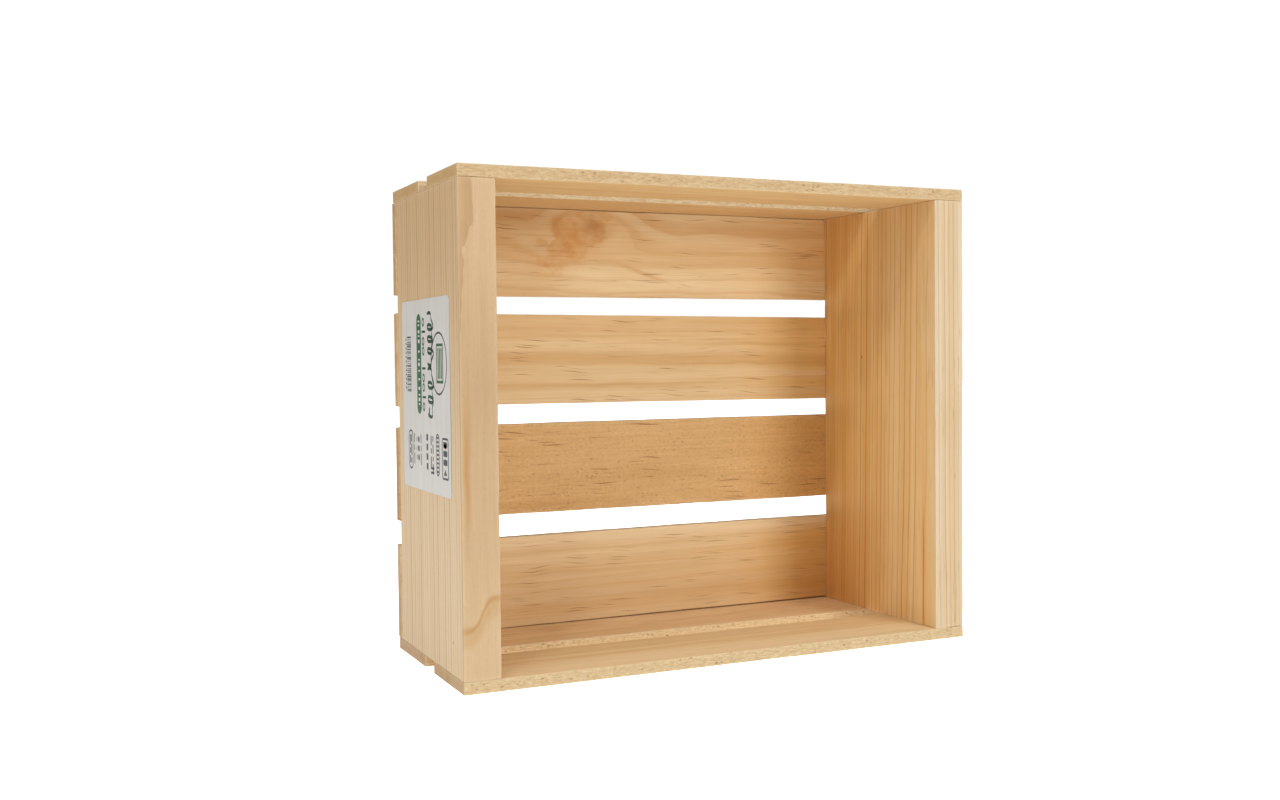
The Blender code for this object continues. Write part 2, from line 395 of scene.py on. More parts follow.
class Graph:
    """A material's node tree, with short calls for the nodes used here."""

    def __init__(self, name):
        self.material = bpy.data.materials.new(name)
        self.material.use_nodes = True
        self.tree = self.material.node_tree
        self.shader = self.tree.nodes["Principled BSDF"]

    def put(self, socket, value):
        if isinstance(value, bpy.types.NodeSocket):
            self.tree.links.new(value, socket)
        elif hasattr(socket.default_value, "__len__") and not hasattr(value, "__len__"):
            socket.default_value = (value,) * len(socket.default_value)
        elif hasattr(value, "__len__") and len(value) < len(socket.default_value):
            socket.default_value = (*value, 1.0)
        else:
            socket.default_value = value

    def math(self, operation, a, b=0.0, c=0.0):
        node = self.tree.nodes.new("ShaderNodeMath")
        node.operation = operation
        for socket, value in zip(node.inputs, (a, b, c)):
            self.put(socket, value)
        return node.outputs[0]

    def add(self, a, b):
        return self.math("ADD", a, b)

    def sub(self, a, b):
        return self.math("SUBTRACT", a, b)

    def mul(self, a, b):
        return self.math("MULTIPLY", a, b)

    def vector(self, operation, a, b=(0.0, 0.0, 0.0)):
        node = self.tree.nodes.new("ShaderNodeVectorMath")
        node.operation = operation
        self.put(node.inputs[0], a)
        self.put(node.inputs[1], b)
        return node.outputs["Value" if operation in ("LENGTH", "DOT_PRODUCT") else "Vector"]

    def join(self, x, y, z):
        node = self.tree.nodes.new("ShaderNodeCombineXYZ")
        for socket, value in zip(node.inputs, (x, y, z)):
            self.put(socket, value)
        return node.outputs[0]

    def split(self, value):
        node = self.tree.nodes.new("ShaderNodeSeparateXYZ")
        self.put(node.inputs[0], value)
        return node.outputs

    def noise(self, at, detail=2.0, roughness=0.5, w=None):
        """Noise from 0 to 1: at is a vector, or a number when w says one dimension."""
        node = self.tree.nodes.new("ShaderNodeTexNoise")
        node.noise_dimensions = "1D" if w else "3D"
        self.put(node.inputs["W" if w else "Vector"], at)
        node.inputs["Scale"].default_value = 1.0
        node.inputs["Detail"].default_value = detail
        node.inputs["Roughness"].default_value = roughness
        return node.outputs["Fac"]

    def noise_at(self, at, scale, detail=2.0, roughness=0.5):
        """Noise over a vector that is scaled first."""
        return self.noise(self.vector("MULTIPLY", at, scale), detail, roughness)

    def random(self, at):
        node = self.tree.nodes.new("ShaderNodeTexWhiteNoise")
        node.noise_dimensions = "1D"
        self.put(node.inputs["W"], at)
        return node.outputs["Value"]

    def ease(self, value, low, high, to_low=0.0, to_high=1.0):
        """A smooth step from to_low at low to to_high at high."""
        node = self.tree.nodes.new("ShaderNodeMapRange")
        node.interpolation_type = "SMOOTHSTEP"
        for socket, number in zip(node.inputs, (value, low, high, to_low, to_high)):
            self.put(socket, number)
        return node.outputs[0]

    def curve(self, value, stops):
        """A number through straight stretches between (place, level) stops."""
        node = self.tree.nodes.new("ShaderNodeValToRGB")
        band = node.color_ramp
        while len(band.elements) < len(stops):
            band.elements.new(0.5)
        for element, (place, level) in zip(band.elements, stops):
            element.position = place
            element.color = (level, level, level, 1.0)
        self.put(node.inputs[0], value)
        return node.outputs["Color"]

    def mix(self, amount, a, b, blend="MIX"):
        node = self.tree.nodes.new("ShaderNodeMix")
        node.data_type = "RGBA"
        node.blend_type = blend
        self.put(node.inputs["Factor"], amount)
        self.put(node.inputs["A"], a)
        self.put(node.inputs["B"], b)
        return next(o for o in node.outputs if o.type == "RGBA")

    def tint(self, colour, factor):
        return self.mix(1.0, colour, factor, "MULTIPLY")

    def cells(self, at):
        """Distance to the nearest scattered point, and a random number for that point."""
        node = self.tree.nodes.new("ShaderNodeTexVoronoi")
        self.put(node.inputs["Vector"], at)
        node.inputs["Scale"].default_value = 1.0
        return node.outputs["Distance"], self.split(node.outputs["Color"])[0]

    def shade(self, colour, amount):
        """The colour times a factor near 1. As wood does, it reddens where it darkens."""
        tint = self.join(
            amount, self.math("POWER", amount, 1.4), self.math("POWER", amount, 2.1)
        )
        return self.tint(colour, tint)

    def attribute(self, name):
        node = self.tree.nodes.new("ShaderNodeAttribute")
        node.attribute_name = name
        return node.outputs["Fac"]

    def place(self, centre, axes):
        """Millimetres from centre, as a vector along the given axes."""
        node = self.tree.nodes.new("ShaderNodeTexCoord")
        moved = self.vector("SUBTRACT", node.outputs["Object"], tuple(centre))
        scaled = self.vector("MULTIPLY", moved, (1000.0,) * 3)
        parts = self.split(scaled)
        return self.join(*(parts[AXES.index(letter)] for letter in axes))

    def facing(self, axes):
        """How squarely the surface faces each axis, 0 to 1, in that axis order."""
        node = self.tree.nodes.new("ShaderNodeNewGeometry")
        parts = self.split(self.vector("ABSOLUTE", node.outputs["Normal"]))
        return [parts[AXES.index(letter)] for letter in axes]

    def camera_ray(self):
        return self.tree.nodes.new("ShaderNodeLightPath").outputs["Is Camera Ray"]

    def bump(self, height, distance, strength=1.0):
        node = self.tree.nodes.new("ShaderNodeBump")
        node.inputs["Strength"].default_value = strength
        node.inputs["Distance"].default_value = distance
        self.put(node.inputs["Height"], height)
        self.tree.links.new(node.outputs[0], self.shader.inputs["Normal"])

    def finish(self, **inputs):
        for name, value in inputs.items():
            self.put(self.shader.inputs[name.replace("_", " ")], value)
        return self.material


# ---- wood ----------------------------------------------------------------------------

PALE_LIFT = (1.05, 1.10, 1.18)
# Painted shade for the slats' right ends, where the right panel shades them.
RIGHT_END_PAINTED_SHADE = (0.97, 0.79, 0.47)
END_DARK = (0.55, 0.44, 0.36)
END_LIGHT = (0.87, 0.80, 0.76)
EDGE_DARK = (0.62, 0.43, 0.23)
EDGE_LIGHT = (0.84, 0.69, 0.45)
SPECK = (0.38, 0.215, 0.085)
# Paler arris colour: partly rubbed wear, partly a painted highlight.
ARRIS_WEAR_AND_HIGHLIGHT = (0.86, 0.70, 0.48)
PIT_BROWN = (0.22, 0.13, 0.07)
FLECK = (0.38, 0.17, 0.06)
FLECK_BROWN = (0.30, 0.135, 0.045)
KNOT_BROWN = (0.48, 0.22, 0.06)
RESIN = (0.50, 0.265, 0.085)

# Where a surface turns from one face of a board to the next, by how squarely it faces.
FACE_TURN = (0.55, 0.85)
# The same for the end panels, by place: the mouth edge, the inner and the outer face, in mm.
MOUTH_EDGE = (-55.0, -56.6)
INNER_FACE = (-8.0, -9.2)
OUTER_FACE = (8.0, 9.2)


def growth_rings(g, place, grain, look):
    """Ring number at a point: distance from a leaning, wandering pith, pushed by knots."""
    along, across, through = g.split(place)
    wander = look["wander"]
    slow = g.vector("MULTIPLY", grain, (1 / 95.0, 1 / 26.0, 1 / 26.0))
    sway = g.mul(g.sub(g.noise(slow, 2.0), 0.5), 2.0 * wander)
    other = g.vector("ADD", slow, (0.0, 31.0, 7.0))
    sway_through = g.mul(g.sub(g.noise(other, 2.0), 0.5), 2.0 * wander)
    fine = g.vector("MULTIPLY", grain, (1 / 22.0, 1 / 7.0, 1 / 7.0))
    tremor = g.mul(g.sub(g.noise(fine, 1.0), 0.5), 0.22 * wander)
    u = g.add(g.sub(across, look["pith"][0]), g.add(g.mul(along, look["lean"][0]), sway))
    v = g.add(
        g.sub(through, look["pith"][1]), g.add(g.mul(along, look["lean"][1]), sway_through)
    )
    v = g.mul(v, look.get("oval", 1.0))
    radius = g.math("SQRT", g.add(g.mul(u, u), g.mul(v, v)))
    radius = g.add(radius, tremor)
    for knot in look.get("knots", ()):
        radius = g.add(radius, g.mul(knot_hill(g, place, knot), knot[4]))
    crowd = look.get("crowd", 1.0)
    per_mm = 1.0 / (look["ring"] * crowd * REFERENCE_RADIUS ** (crowd - 1.0))
    number = g.mul(g.math("POWER", radius, crowd), per_mm)
    uneven = g.mul(g.noise(g.mul(number, 0.8), 1.0, w=True), 0.7)
    return g.add(number, uneven), radius


def knot_hill(g, place, knot):
    """1 at a knot's centre, falling smoothly to 0 beyond its reach."""
    along, across, _ = g.split(place)
    a = g.math("DIVIDE", g.sub(along, knot[0]), knot[2])
    b = g.math("DIVIDE", g.sub(across, knot[1]), knot[3])
    square = g.add(g.mul(a, a), g.mul(b, b))
    return g.math("EXPONENT", g.mul(square, -1.0))


def streak_sum(g, place, grain, look, darker):
    """Strength of the dark (or pale) streaks at a point."""
    along, across, _ = g.split(place)
    slow = g.noise_at(grain, (1 / 60.0, 1 / 60.0, 1 / 60.0), 2.0)
    path = g.add(across, g.mul(g.sub(slow, 0.5), 5.0))
    total = 0.0
    for centre, lean, width, middle, reach, strength in look.get("streaks", ()):
        if (strength > 0) != darker:
            continue
        line = g.add(g.mul(along, lean), centre - lean * middle)
        a = g.mul(g.sub(path, line), 1.0 / width)
        b = g.mul(g.sub(along, middle), 1.0 / reach)
        square = g.add(g.mul(a, a), g.mul(b, b))
        amount = g.mul(g.math("EXPONENT", g.mul(square, -1.0)), abs(strength))
        total = g.add(total, amount)
    return total


def wood_material(name, look, centre):
    """Pine with its own figure: long faces, end grain, sawn edges, arrises and pits."""
    g = Graph(f"pine_{name}")
    place = g.place(centre, look["axes"])
    shift = look["seed"]
    grain = g.vector("ADD", place, (37.0 * shift, 11.3 * shift, 5.7 * shift))
    along_face, width_face, _ = g.facing(look["axes"])
    fibre = g.noise_at(grain, (0.035, 2.1, 2.1), 4.0, 0.6)
    streak = g.noise_at(grain, (0.012, 0.42, 0.42), 3.0, 0.55)

    colour, late = ring_colour(g, place, grain, look, streak)
    swing = look["fibre"]
    shade = g.add(g.mul(g.sub(fibre, 0.5), 4.0 * swing), g.mul(g.sub(streak, 0.5), 3.5 * swing))
    colour = g.shade(colour, g.add(shade, 1.0))
    colour = add_flecks(g, grain, look, colour)
    if name in FEATURES:
        colour = FEATURES[name](g, place, colour)

    end = g.ease(along_face, *FACE_TURN)
    pores = g.noise_at(grain, (0.8, 4.5, 4.5), 3.0, 0.6)
    end_tone = g.mix(g.ease(pores, 0.3, 0.7), END_DARK, END_LIGHT)
    colour = g.mix(g.mul(end, 0.8), colour, g.tint(colour, end_tone))

    edge = g.mul(g.ease(width_face, *FACE_TURN), look.get("edge", 1.0))
    colour, coarse, rubble = sawn_surface(g, grain, look, colour, edge)
    # Arrises paler: partly wear, partly a painted highlight.
    colour = g.mix(g.mul(g.attribute("arris"), 0.22), colour, ARRIS_WEAR_AND_HIGHLIGHT)
    colour = g.mix(g.mul(g.attribute("stain"), 0.75), colour, PIT_BROWN)

    height = g.add(g.mul(fibre, 0.5), g.mul(late, 0.35))
    height = g.add(g.add(height, rubble), g.mul(pores, g.mul(end, 0.9)))
    g.bump(height, 0.22 * MM, 0.6)
    rough = g.add(g.mul(fibre, 0.16), 0.54)
    rough = g.sub(rough, g.mul(late, 0.12))
    rough = g.add(rough, g.mul(coarse, 0.12))
    g.shader.inputs["Specular IOR Level"].default_value = 0.32
    return g.finish(Base_Color=colour, Roughness=rough)


def ring_colour(g, place, grain, look, streak):
    """Early wood, darker ring lines, broad bands and hair lines, painted shade at the right end,
    and how late the wood is.
    """
    number, radius = growth_rings(g, place, grain, look)
    line = look.get("line", 0.55)
    late = g.curve(
        g.math("FRACT", number),
        ((0.0, 0.35), (0.05, 0.03), (line, 0.04), (0.5 + line / 2, 0.75), (0.97, 1.0)),
    )
    strength = g.add(g.mul(g.random(g.math("FLOOR", number)), 0.6), 0.4)
    late = g.mul(g.mul(late, strength), look["contrast"])
    for ramp in look.get("fades", ()):
        late = g.mul(late, g.ease(g.split(place)[1], *ramp))
    zone = g.noise(g.mul(radius, 0.09), 2.0, w=True)
    blotch = g.noise_at(grain, (0.016, 0.05, 0.05), 3.0, 0.6)
    hair = g.noise_at(grain, (0.0065, 0.85, 0.85), 2.0, 0.6)

    bands = look.get("bands", 1.0)
    colour = g.mix(g.ease(zone, 0.40, 0.66, 0.0, bands), look["early"], look["warm"])
    colour = g.mix(g.ease(blotch, 0.42, 0.75, 0.0, 0.55 * bands), colour, look["warm"])
    # Painted shade: deeper, oranger colour towards the right end, where the right panel shades the
    # slat.
    if "painted_right_shade" in look:
        painted_shade_colour = g.tint(colour, RIGHT_END_PAINTED_SHADE)
        colour = g.mix(g.ease(g.split(place)[0], 50.0, 128.0, 0.0, look["painted_right_shade"]), colour, painted_shade_colour)
    broken = g.ease(streak, 0.25, 0.65, 0.55, 1.15)
    dark = g.mul(streak_sum(g, place, grain, look, True), broken)
    colour = g.mix(dark, colour, look["late"])
    pale = tuple(min(1.0, channel * lift) for channel, lift in zip(look["early"], PALE_LIFT))
    colour = g.mix(streak_sum(g, place, grain, look, False), colour, pale)
    lines = g.mul(g.ease(hair, 0.57, 0.66), look.get("hair", 0.34))
    return g.mix(g.math("MAXIMUM", late, lines), colour, look["late"]), late


def sawn_surface(g, grain, look, colour, edge):
    """Torn, speckled wood on the narrow edges, and all over where the look says fuzz."""
    torn = g.noise_at(grain, (0.28, 1.5, 1.5), 4.0, 0.7)
    fluff = g.noise_at(grain, (0.75, 1.9, 1.9), 3.0, 0.75)
    drift = g.noise_at(grain, (0.03, 0.12, 0.12), 2.0)
    edge_tone = g.mix(g.ease(torn, 0.35, 0.65), EDGE_DARK, EDGE_LIGHT)
    edge_tone = g.tint(edge_tone, look.get("edge_tint", (1.0, 1.0, 1.0)))
    colour = g.mix(g.mul(edge, 0.80), colour, edge_tone)
    fuzz = look.get("fuzz", 0.0)
    coarse = g.math("MAXIMUM", edge, fuzz)
    mottle = g.noise_at(grain, (0.30, 0.42, 0.42), 4.0, 0.68)
    saw = g.noise_at(grain, (0.75, 0.05, 0.05), 2.0, 0.5)
    near, tint = g.cells(g.vector("MULTIPLY", grain, (0.33, 0.62, 0.62)))
    crumb = g.ease(g.math("DIVIDE", near, g.ease(tint, 0.2, 1.0, 0.08, 0.42)), 0.4, 1.0, 1.0, 0.0)
    speck = g.math("MAXIMUM", g.ease(fluff, 0.58, 0.68, 0.0, 0.6), crumb)
    speck = g.mul(speck, g.ease(drift, 0.38, 0.62, 0.3, 1.0))
    speck = g.mul(speck, g.math("MAXIMUM", edge, 0.7 * fuzz))
    colour = g.mix(g.mul(speck, 0.85), colour, SPECK)
    nap = g.add(1.0, g.mul(g.mul(g.sub(fluff, 0.5), g.math("MAXIMUM", edge, 0.4 * fuzz)), 0.35))
    pocks = g.noise_at(grain, (0.50, 0.65, 0.65), 4.0, 0.7)
    # Painted shade in the pocks and a painted highlight on the ridges between them, over the relief
    # that the bump also makes; with the mottle it tints the wood where the look says fuzz.
    painted_relief_shade = g.add(g.ease(pocks, 0.54, 0.64, 0.0, -0.09), g.ease(pocks, 0.46, 0.38, 0.0, 0.05))
    mottle_and_relief_shade = g.add(g.mul(g.sub(mottle, 0.5), 0.14), painted_relief_shade)
    colour = g.shade(colour, g.add(nap, g.mul(mottle_and_relief_shade, fuzz)))
    rubble = g.mul(g.add(g.add(torn, fluff), g.mul(saw, 0.8)), g.mul(coarse, 1.2))
    return colour, coarse, g.add(rubble, g.mul(pocks, -4.5 * fuzz))


def add_flecks(g, grain, look, colour):
    """Resin canals: thin dark dashes along the grain, in drifts."""
    bend = g.noise_at(grain, (0.04, 0.04, 0.04), 1.0)
    along, across, through = g.split(grain)
    across = g.add(across, g.add(g.mul(bend, 5.0), g.mul(along, 0.03)))
    cell = g.vector("MULTIPLY", g.join(along, across, through), (0.034, 1.0, 1.0))
    near, tint = g.cells(cell)
    size = g.ease(tint, 0.0, 1.0, 0.10, 0.40)
    dash = g.ease(g.math("DIVIDE", near, size), 0.25, 1.0, 1.0, 0.0)
    drift = g.noise_at(grain, (0.016, 0.10, 0.10), 2.0, 0.6)
    amount = g.mul(dash, g.ease(drift, 0.44, 0.56, 0.15, 1.0))
    return g.mix(g.mul(amount, look["fleck"]), colour, g.tint(colour, FLECK))


def band(g, value, centre, width):
    """1 on a line at centre, easing to 0 at width either side."""
    return g.ease(g.math("ABSOLUTE", g.sub(value, centre)), 0.0, width, 1.0, 0.0)


def back_slat_1_features(g, place, colour):
    """A smoky swirl of resin round a hidden knot, and tanner wood to the left of it."""
    along, across, _ = g.split(place)
    tan = g.tint(colour, (0.90, 0.84, 0.77))
    colour = g.mix(g.ease(along, -30.0, -75.0), colour, tan)
    warp = g.noise_at(place, (0.075, 0.085, 0.085), 3.0, 0.55)
    curl = g.noise_at(place, (0.11, 0.16, 0.16), 3.0, 0.6)
    left, up = g.add(along, 43.0), g.sub(across, 8.5)
    length = g.mul(g.add(g.mul(left, 0.80), g.mul(up, 0.60)), 1 / 25.0)
    width = g.mul(g.sub(g.mul(up, 0.80), g.mul(left, 0.60)), 1 / 14.0)
    reach = g.math("SQRT", g.add(g.mul(length, length), g.mul(width, width)))
    reach = g.add(reach, g.mul(g.sub(warp, 0.5), 1.7))
    cloud = g.mul(g.ease(reach, 0.10, 1.35, 1.0, 0.0), g.ease(curl, 0.28, 0.66, 0.4, 1.0))
    smoke = g.tint(colour, (0.86, 0.62, 0.36))
    colour = g.mix(cloud, colour, smoke)
    rim = g.mul(band(g, reach, 0.80, 0.22), g.ease(curl, 0.38, 0.62))
    colour = g.mix(g.mul(rim, 0.5), colour, smoke)
    left, up = g.add(along, 31.0), g.sub(across, 17.5)
    reach = g.math("SQRT", g.add(g.mul(left, left), g.mul(up, up)))
    reach = g.add(reach, g.mul(g.sub(warp, 0.5), 14.0))
    return g.mix(g.ease(reach, 0.0, 10.0, 0.6, 0.0), colour, KNOT_BROWN)


def left_panel_features(g, place, colour):
    """Tanner at the top; a pitch streak and swirl on the front edge; a small pit outside."""
    along, across, through = g.split(place)
    tan = g.tint(colour, (0.79, 0.705, 0.595))
    colour = g.mix(g.ease(along, -60.0, 120.0, 0.0, 0.9), colour, tan)
    front = g.ease(across, *MOUTH_EDGE)
    tint = g.mix(g.ease(along, -50.0, -110.0), (0.735, 0.670, 0.590), (0.80, 0.75, 0.67))
    tint = g.mix(g.ease(along, 10.0, 110.0), tint, (0.97, 0.96, 0.98))
    colour = g.mix(front, colour, g.tint(colour, tint))
    wobble = g.noise_at(place, (0.05, 0.1, 0.1), 2.0)
    path = g.add(g.mul(g.sub(wobble, 0.5), 3.0), -6.6)
    streak = g.mul(band(g, g.sub(through, path), 0.0, 2.9), band(g, along, -18.0, 52.0))
    colour = g.mix(g.mul(g.mul(streak, front), 0.85), colour, RESIN)
    slope = g.add(g.mul(g.math("SINE", g.mul(through, 0.42)), 2.4), g.mul(through, 0.95))
    offset = g.sub(along, g.add(slope, g.mul(wobble, 8.0)))
    swirl = g.math("MAXIMUM", band(g, offset, -93.0, 3.2), g.mul(band(g, offset, -97.0, 8.0), 0.5))
    colour = g.mix(g.mul(g.mul(swirl, front), 0.8), colour, RESIN)
    pit = g.mul(band(g, along, -104.9, 1.5), band(g, across, -40.6, 1.1))
    return g.mix(g.mul(pit, 0.8), colour, FLECK_BROWN)


def right_panel_features(g, place, colour):
    """Painted shade deepening the inner face to the back and its lower back corner, a painted
    shadow of the top slats up high, a resin line near the mouth and one red pin knot.
    """
    along, across, through = g.split(place)
    inside = g.ease(through, *INNER_FACE)
    # Painted shade: the inner face deepens in colour towards the back.
    depth = g.mul(g.ease(across, -45.0, 50.0), inside)
    painted_shade_colour = g.tint(colour, (1.03, 0.90, 0.66))
    colour = g.mix(depth, colour, painted_shade_colour)
    # Painted shade: darker still in the lower back corner.
    corner = g.mul(depth, g.ease(along, 0.0, -110.0))
    colour = g.mix(corner, colour, g.tint(colour, (0.84, 0.72, 0.62)))
    # Painted shadow of the top slats: the inner face darker towards the top.
    painted_top_slat_shadow = g.mul(inside, g.ease(along, -10.0, 90.0))
    colour = g.mix(painted_top_slat_shadow, colour, g.tint(colour, (0.92, 0.885, 0.86)))
    shell = g.math("MAXIMUM", g.ease(across, *MOUTH_EDGE), g.ease(through, *OUTER_FACE))
    colour = g.mix(shell, colour, g.tint(colour, (0.88, 0.94, 1.20)))
    wobble = g.noise_at(place, (0.03, 0.08, 0.08), 2.0)
    path = g.add(g.mul(g.sub(wobble, 0.5), 1.6), -45.4)
    halo = g.mul(band(g, across, -46.0, 6.0), g.ease(along, 60.0, -40.0))
    colour = g.mix(g.mul(g.mul(halo, inside), 0.5), colour, (0.76, 0.42, 0.14))
    line = g.mul(band(g, g.sub(across, path), 0.0, 1.1), g.ease(along, -40.0, -80.0))
    colour = g.mix(g.mul(g.mul(line, inside), 0.9), colour, (0.56, 0.21, 0.035))
    pin = g.mul(band(g, along, 33.2, 1.4), band(g, across, 15.7, 1.2))
    return g.mix(g.mul(g.mul(pin, inside), 0.9), colour, (0.40, 0.10, 0.02))


FEATURES = {
    "back_slat_1": back_slat_1_features,
    "end_panel_left": left_panel_features,
    "end_panel_right": right_panel_features,
}


# ---- brads ---------------------------------------------------------------------------


def brad_material():
    """Bright drawn wire with a little grey oxide."""
    g = Graph("brad_wire")
    place = g.place((0.0, 0.0, 0.0), "XYZ")
    grain = g.noise_at(place, (1.3, 1.3, 1.3), 3.0)
    colour = g.mix(g.ease(grain, 0.35, 0.65), (0.56, 0.55, 0.53), (0.33, 0.31, 0.28))
    g.bump(grain, 0.05 * MM)
    g.shader.inputs["Metallic"].default_value = 1.0
    return g.finish(Base_Color=colour, Roughness=g.ease(grain, 0.3, 0.7, 0.28, 0.5))


def finish_brads():
    """The CAD brads keep their meshes and get the wire material."""
    wire = brad_material()
    for name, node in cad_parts.items():
        if name.startswith("brad_"):
            for spot in node.material_slots:
                spot.material = wire


# ---- label ---------------------------------------------------------------------------

PAPER_THICKNESS = 0.10 * MM
PAPER_GAP = 0.03 * MM
INK_LIFT = 0.02 * MM
LABEL_RADIUS = 3.0 * MM
SHEET_CORNER_STEPS = 10
GREEN = (0.035, 0.135, 0.055)
BLACK = (0.045, 0.042, 0.040)
TITLE = (0.020, 0.060, 0.030)
RED = (0.42, 0.05, 0.04)
WHITE = (0.74, 0.73, 0.71)


class Label:
    """Printed shapes on the left end panel. u runs down the label, v back from the mouth."""

    def __init__(self):
        low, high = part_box("label")
        self.low, self.high = Vector(low), Vector(high)
        self.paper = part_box("end_panel_left")[0][0] - PAPER_GAP
        self.inks = {}

    def point(self, u, v, lift):
        y = self.low.y + v * (self.high.y - self.low.y)
        z = self.high.z - u * (self.high.z - self.low.z)
        return (self.paper - PAPER_THICKNESS - lift, y, z)

    def shape(self, ink, outline):
        self.inks.setdefault(ink, []).append([self.point(u, v, INK_LIFT) for u, v in outline])

    def bar(self, ink, u0, u1, v0, v1, radius=0.0):
        self.shape(ink, rounded(u0, u1, v0, v1, radius))

    def frame(self, ink, u0, u1, v0, v1, line, radius=0.0):
        """A hollow rounded rectangle, as a ring of quads."""
        outer = rounded(u0, u1, v0, v1, radius)
        inner = rounded(u0 + line, u1 - line, v0 + line, v1 - line, max(radius - line, 0.0))
        self.ring(ink, outer, inner)

    def ring(self, ink, outer, inner):
        count = len(outer)
        for i in range(count):
            j = (i + 1) % count
            self.shape(ink, (outer[i], outer[j], inner[j], inner[i]))

    def words(self, ink, u0, v0, v1, lengths, gap, radius):
        """A line of unreadable copy: one rounded bar to a word."""
        for length in lengths:
            self.bar(ink, u0, u0 + length, v0, v1, radius)
            u0 += length + gap


CORNER_STEPS = 6


def rounded(u0, u1, v0, v1, radius):
    """Outline of a rectangle with round corners, the same number of points each time."""
    radius = min(radius, (u1 - u0) / 2, (v1 - v0) / 2)
    corners = ((u1, v1, 0), (u0, v1, 1), (u0, v0, 2), (u1, v0, 3))
    outline = []
    for corner_u, corner_v, quarter in corners:
        middle_u = corner_u + radius * (-1 if corner_u == u1 else 1)
        middle_v = corner_v + radius * (-1 if corner_v == v1 else 1)
        for step in range(CORNER_STEPS + 1):
            turn = (quarter + step / CORNER_STEPS) * math.pi / 2
            outline.append((middle_u + radius * math.cos(turn), middle_v + radius * math.sin(turn)))
    return outline


def circle(u, v, radius, steps=40):
    turns = [2 * math.pi * step / steps for step in range(steps)]
    return [(u + radius * math.cos(t), v + radius * math.sin(t)) for t in turns]


def squiggle(u0, u1, v_top, v_base, loops):
    """Leaning pen loops from u0 to u1, tall and short by turns, as a list of points."""
    steps = 26 * loops
    reach = 0.42 * (u1 - u0) / loops
    points = []
    for step in range(steps + 1):
        t = step / steps
        turn = 2 * math.pi * loops * t
        tall = 0.56 + 0.44 * math.sin(1.9 * turn / 2 + 0.6) ** 2
        rise = tall * (0.5 - 0.5 * math.cos(turn))
        u = u0 + (u1 - u0) * t - reach * math.sin(turn) + 0.35 * reach * rise
        points.append((u, v_base + (v_top - v_base) * rise))
    return points


def stroke(label, ink, points, width):
    """A pen stroke along points, thinner where it runs across the line of writing."""
    sides = []
    for i, (u, v) in enumerate(points):
        (u0, v0), (u1, v1) = points[max(i - 1, 0)], points[min(i + 1, len(points) - 1)]
        run = math.hypot(u1 - u0, v1 - v0) or 1.0
        half = width * (0.28 + 0.30 * abs(v1 - v0) / run)
        across = (-(v1 - v0) / run * half, (u1 - u0) / run * half)
        sides.append(((u + across[0], v + across[1]), (u - across[0], v - across[1])))
    for (a, b), (c, d) in zip(sides, sides[1:]):
        label.shape(ink, (a, b, d, c))


def print_title(label):
    """A crate pictogram in a ring, over a pen squiggle and a row of open shapes."""
    label.ring("black", circle(0.335, 0.215, 0.160), circle(0.335, 0.215, 0.150))
    label.frame("green", 0.235, 0.435, 0.130, 0.262, 0.014, 0.006)
    for row in range(3):
        v = 0.156 + row * 0.030
        label.bar("green", 0.258, 0.412, v, v + 0.018)
    stroke(label, "title", squiggle(0.085, 0.330, 0.290, 0.440, 4), 0.0150)
    stroke(label, "title", squiggle(0.370, 0.590, 0.290, 0.440, 3), 0.0150)
    label.bar("title", 0.560, 0.600, 0.405, 0.425, 0.01)
    for place, u in enumerate((0.12, 0.17, 0.22, 0.27, 0.36, 0.41, 0.46, 0.51, 0.56)):
        if place % 3 == 1:
            label.bar("title", u - 0.006, u + 0.006, 0.485, 0.560, 0.005)
        else:
            label.ring("title", circle(u, 0.530, 0.024, 24), circle(u, 0.530, 0.013, 24))


def print_size_band(label):
    """A green band with pale blocks of uneven width, which spell nothing."""
    label.bar("green", 0.075, 0.600, 0.578, 0.672, 0.046)
    u = 0.110
    for width, gap in (
        (0.008, 0.012), (0.008, 0.022), (0.016, 0.011), (0.008, 0.014), (0.018, 0.040),
        (0.010, 0.034), (0.008, 0.012), (0.018, 0.020), (0.008, 0.036), (0.010, 0.034),
        (0.016, 0.022), (0.008, 0.012), (0.018, 0.011), (0.008, 0.014),
    ):
        label.bar("white", u, u + width, 0.608, 0.642, 0.003)
        u += width + gap


def print_stock_bars(label):
    """A plain bar pattern that encodes nothing."""
    rng = np.random.default_rng(5)
    u = 0.190
    while u < 0.485:
        width = rng.choice([0.0032, 0.0052, 0.0078])
        label.bar("black", u, u + width, 0.800, 0.890)
        u += width + rng.choice([0.0034, 0.0056, 0.0082])
    label.words("black", 0.200, 0.905, 0.922, (0.012,) * 12, 0.0115, 0.004)


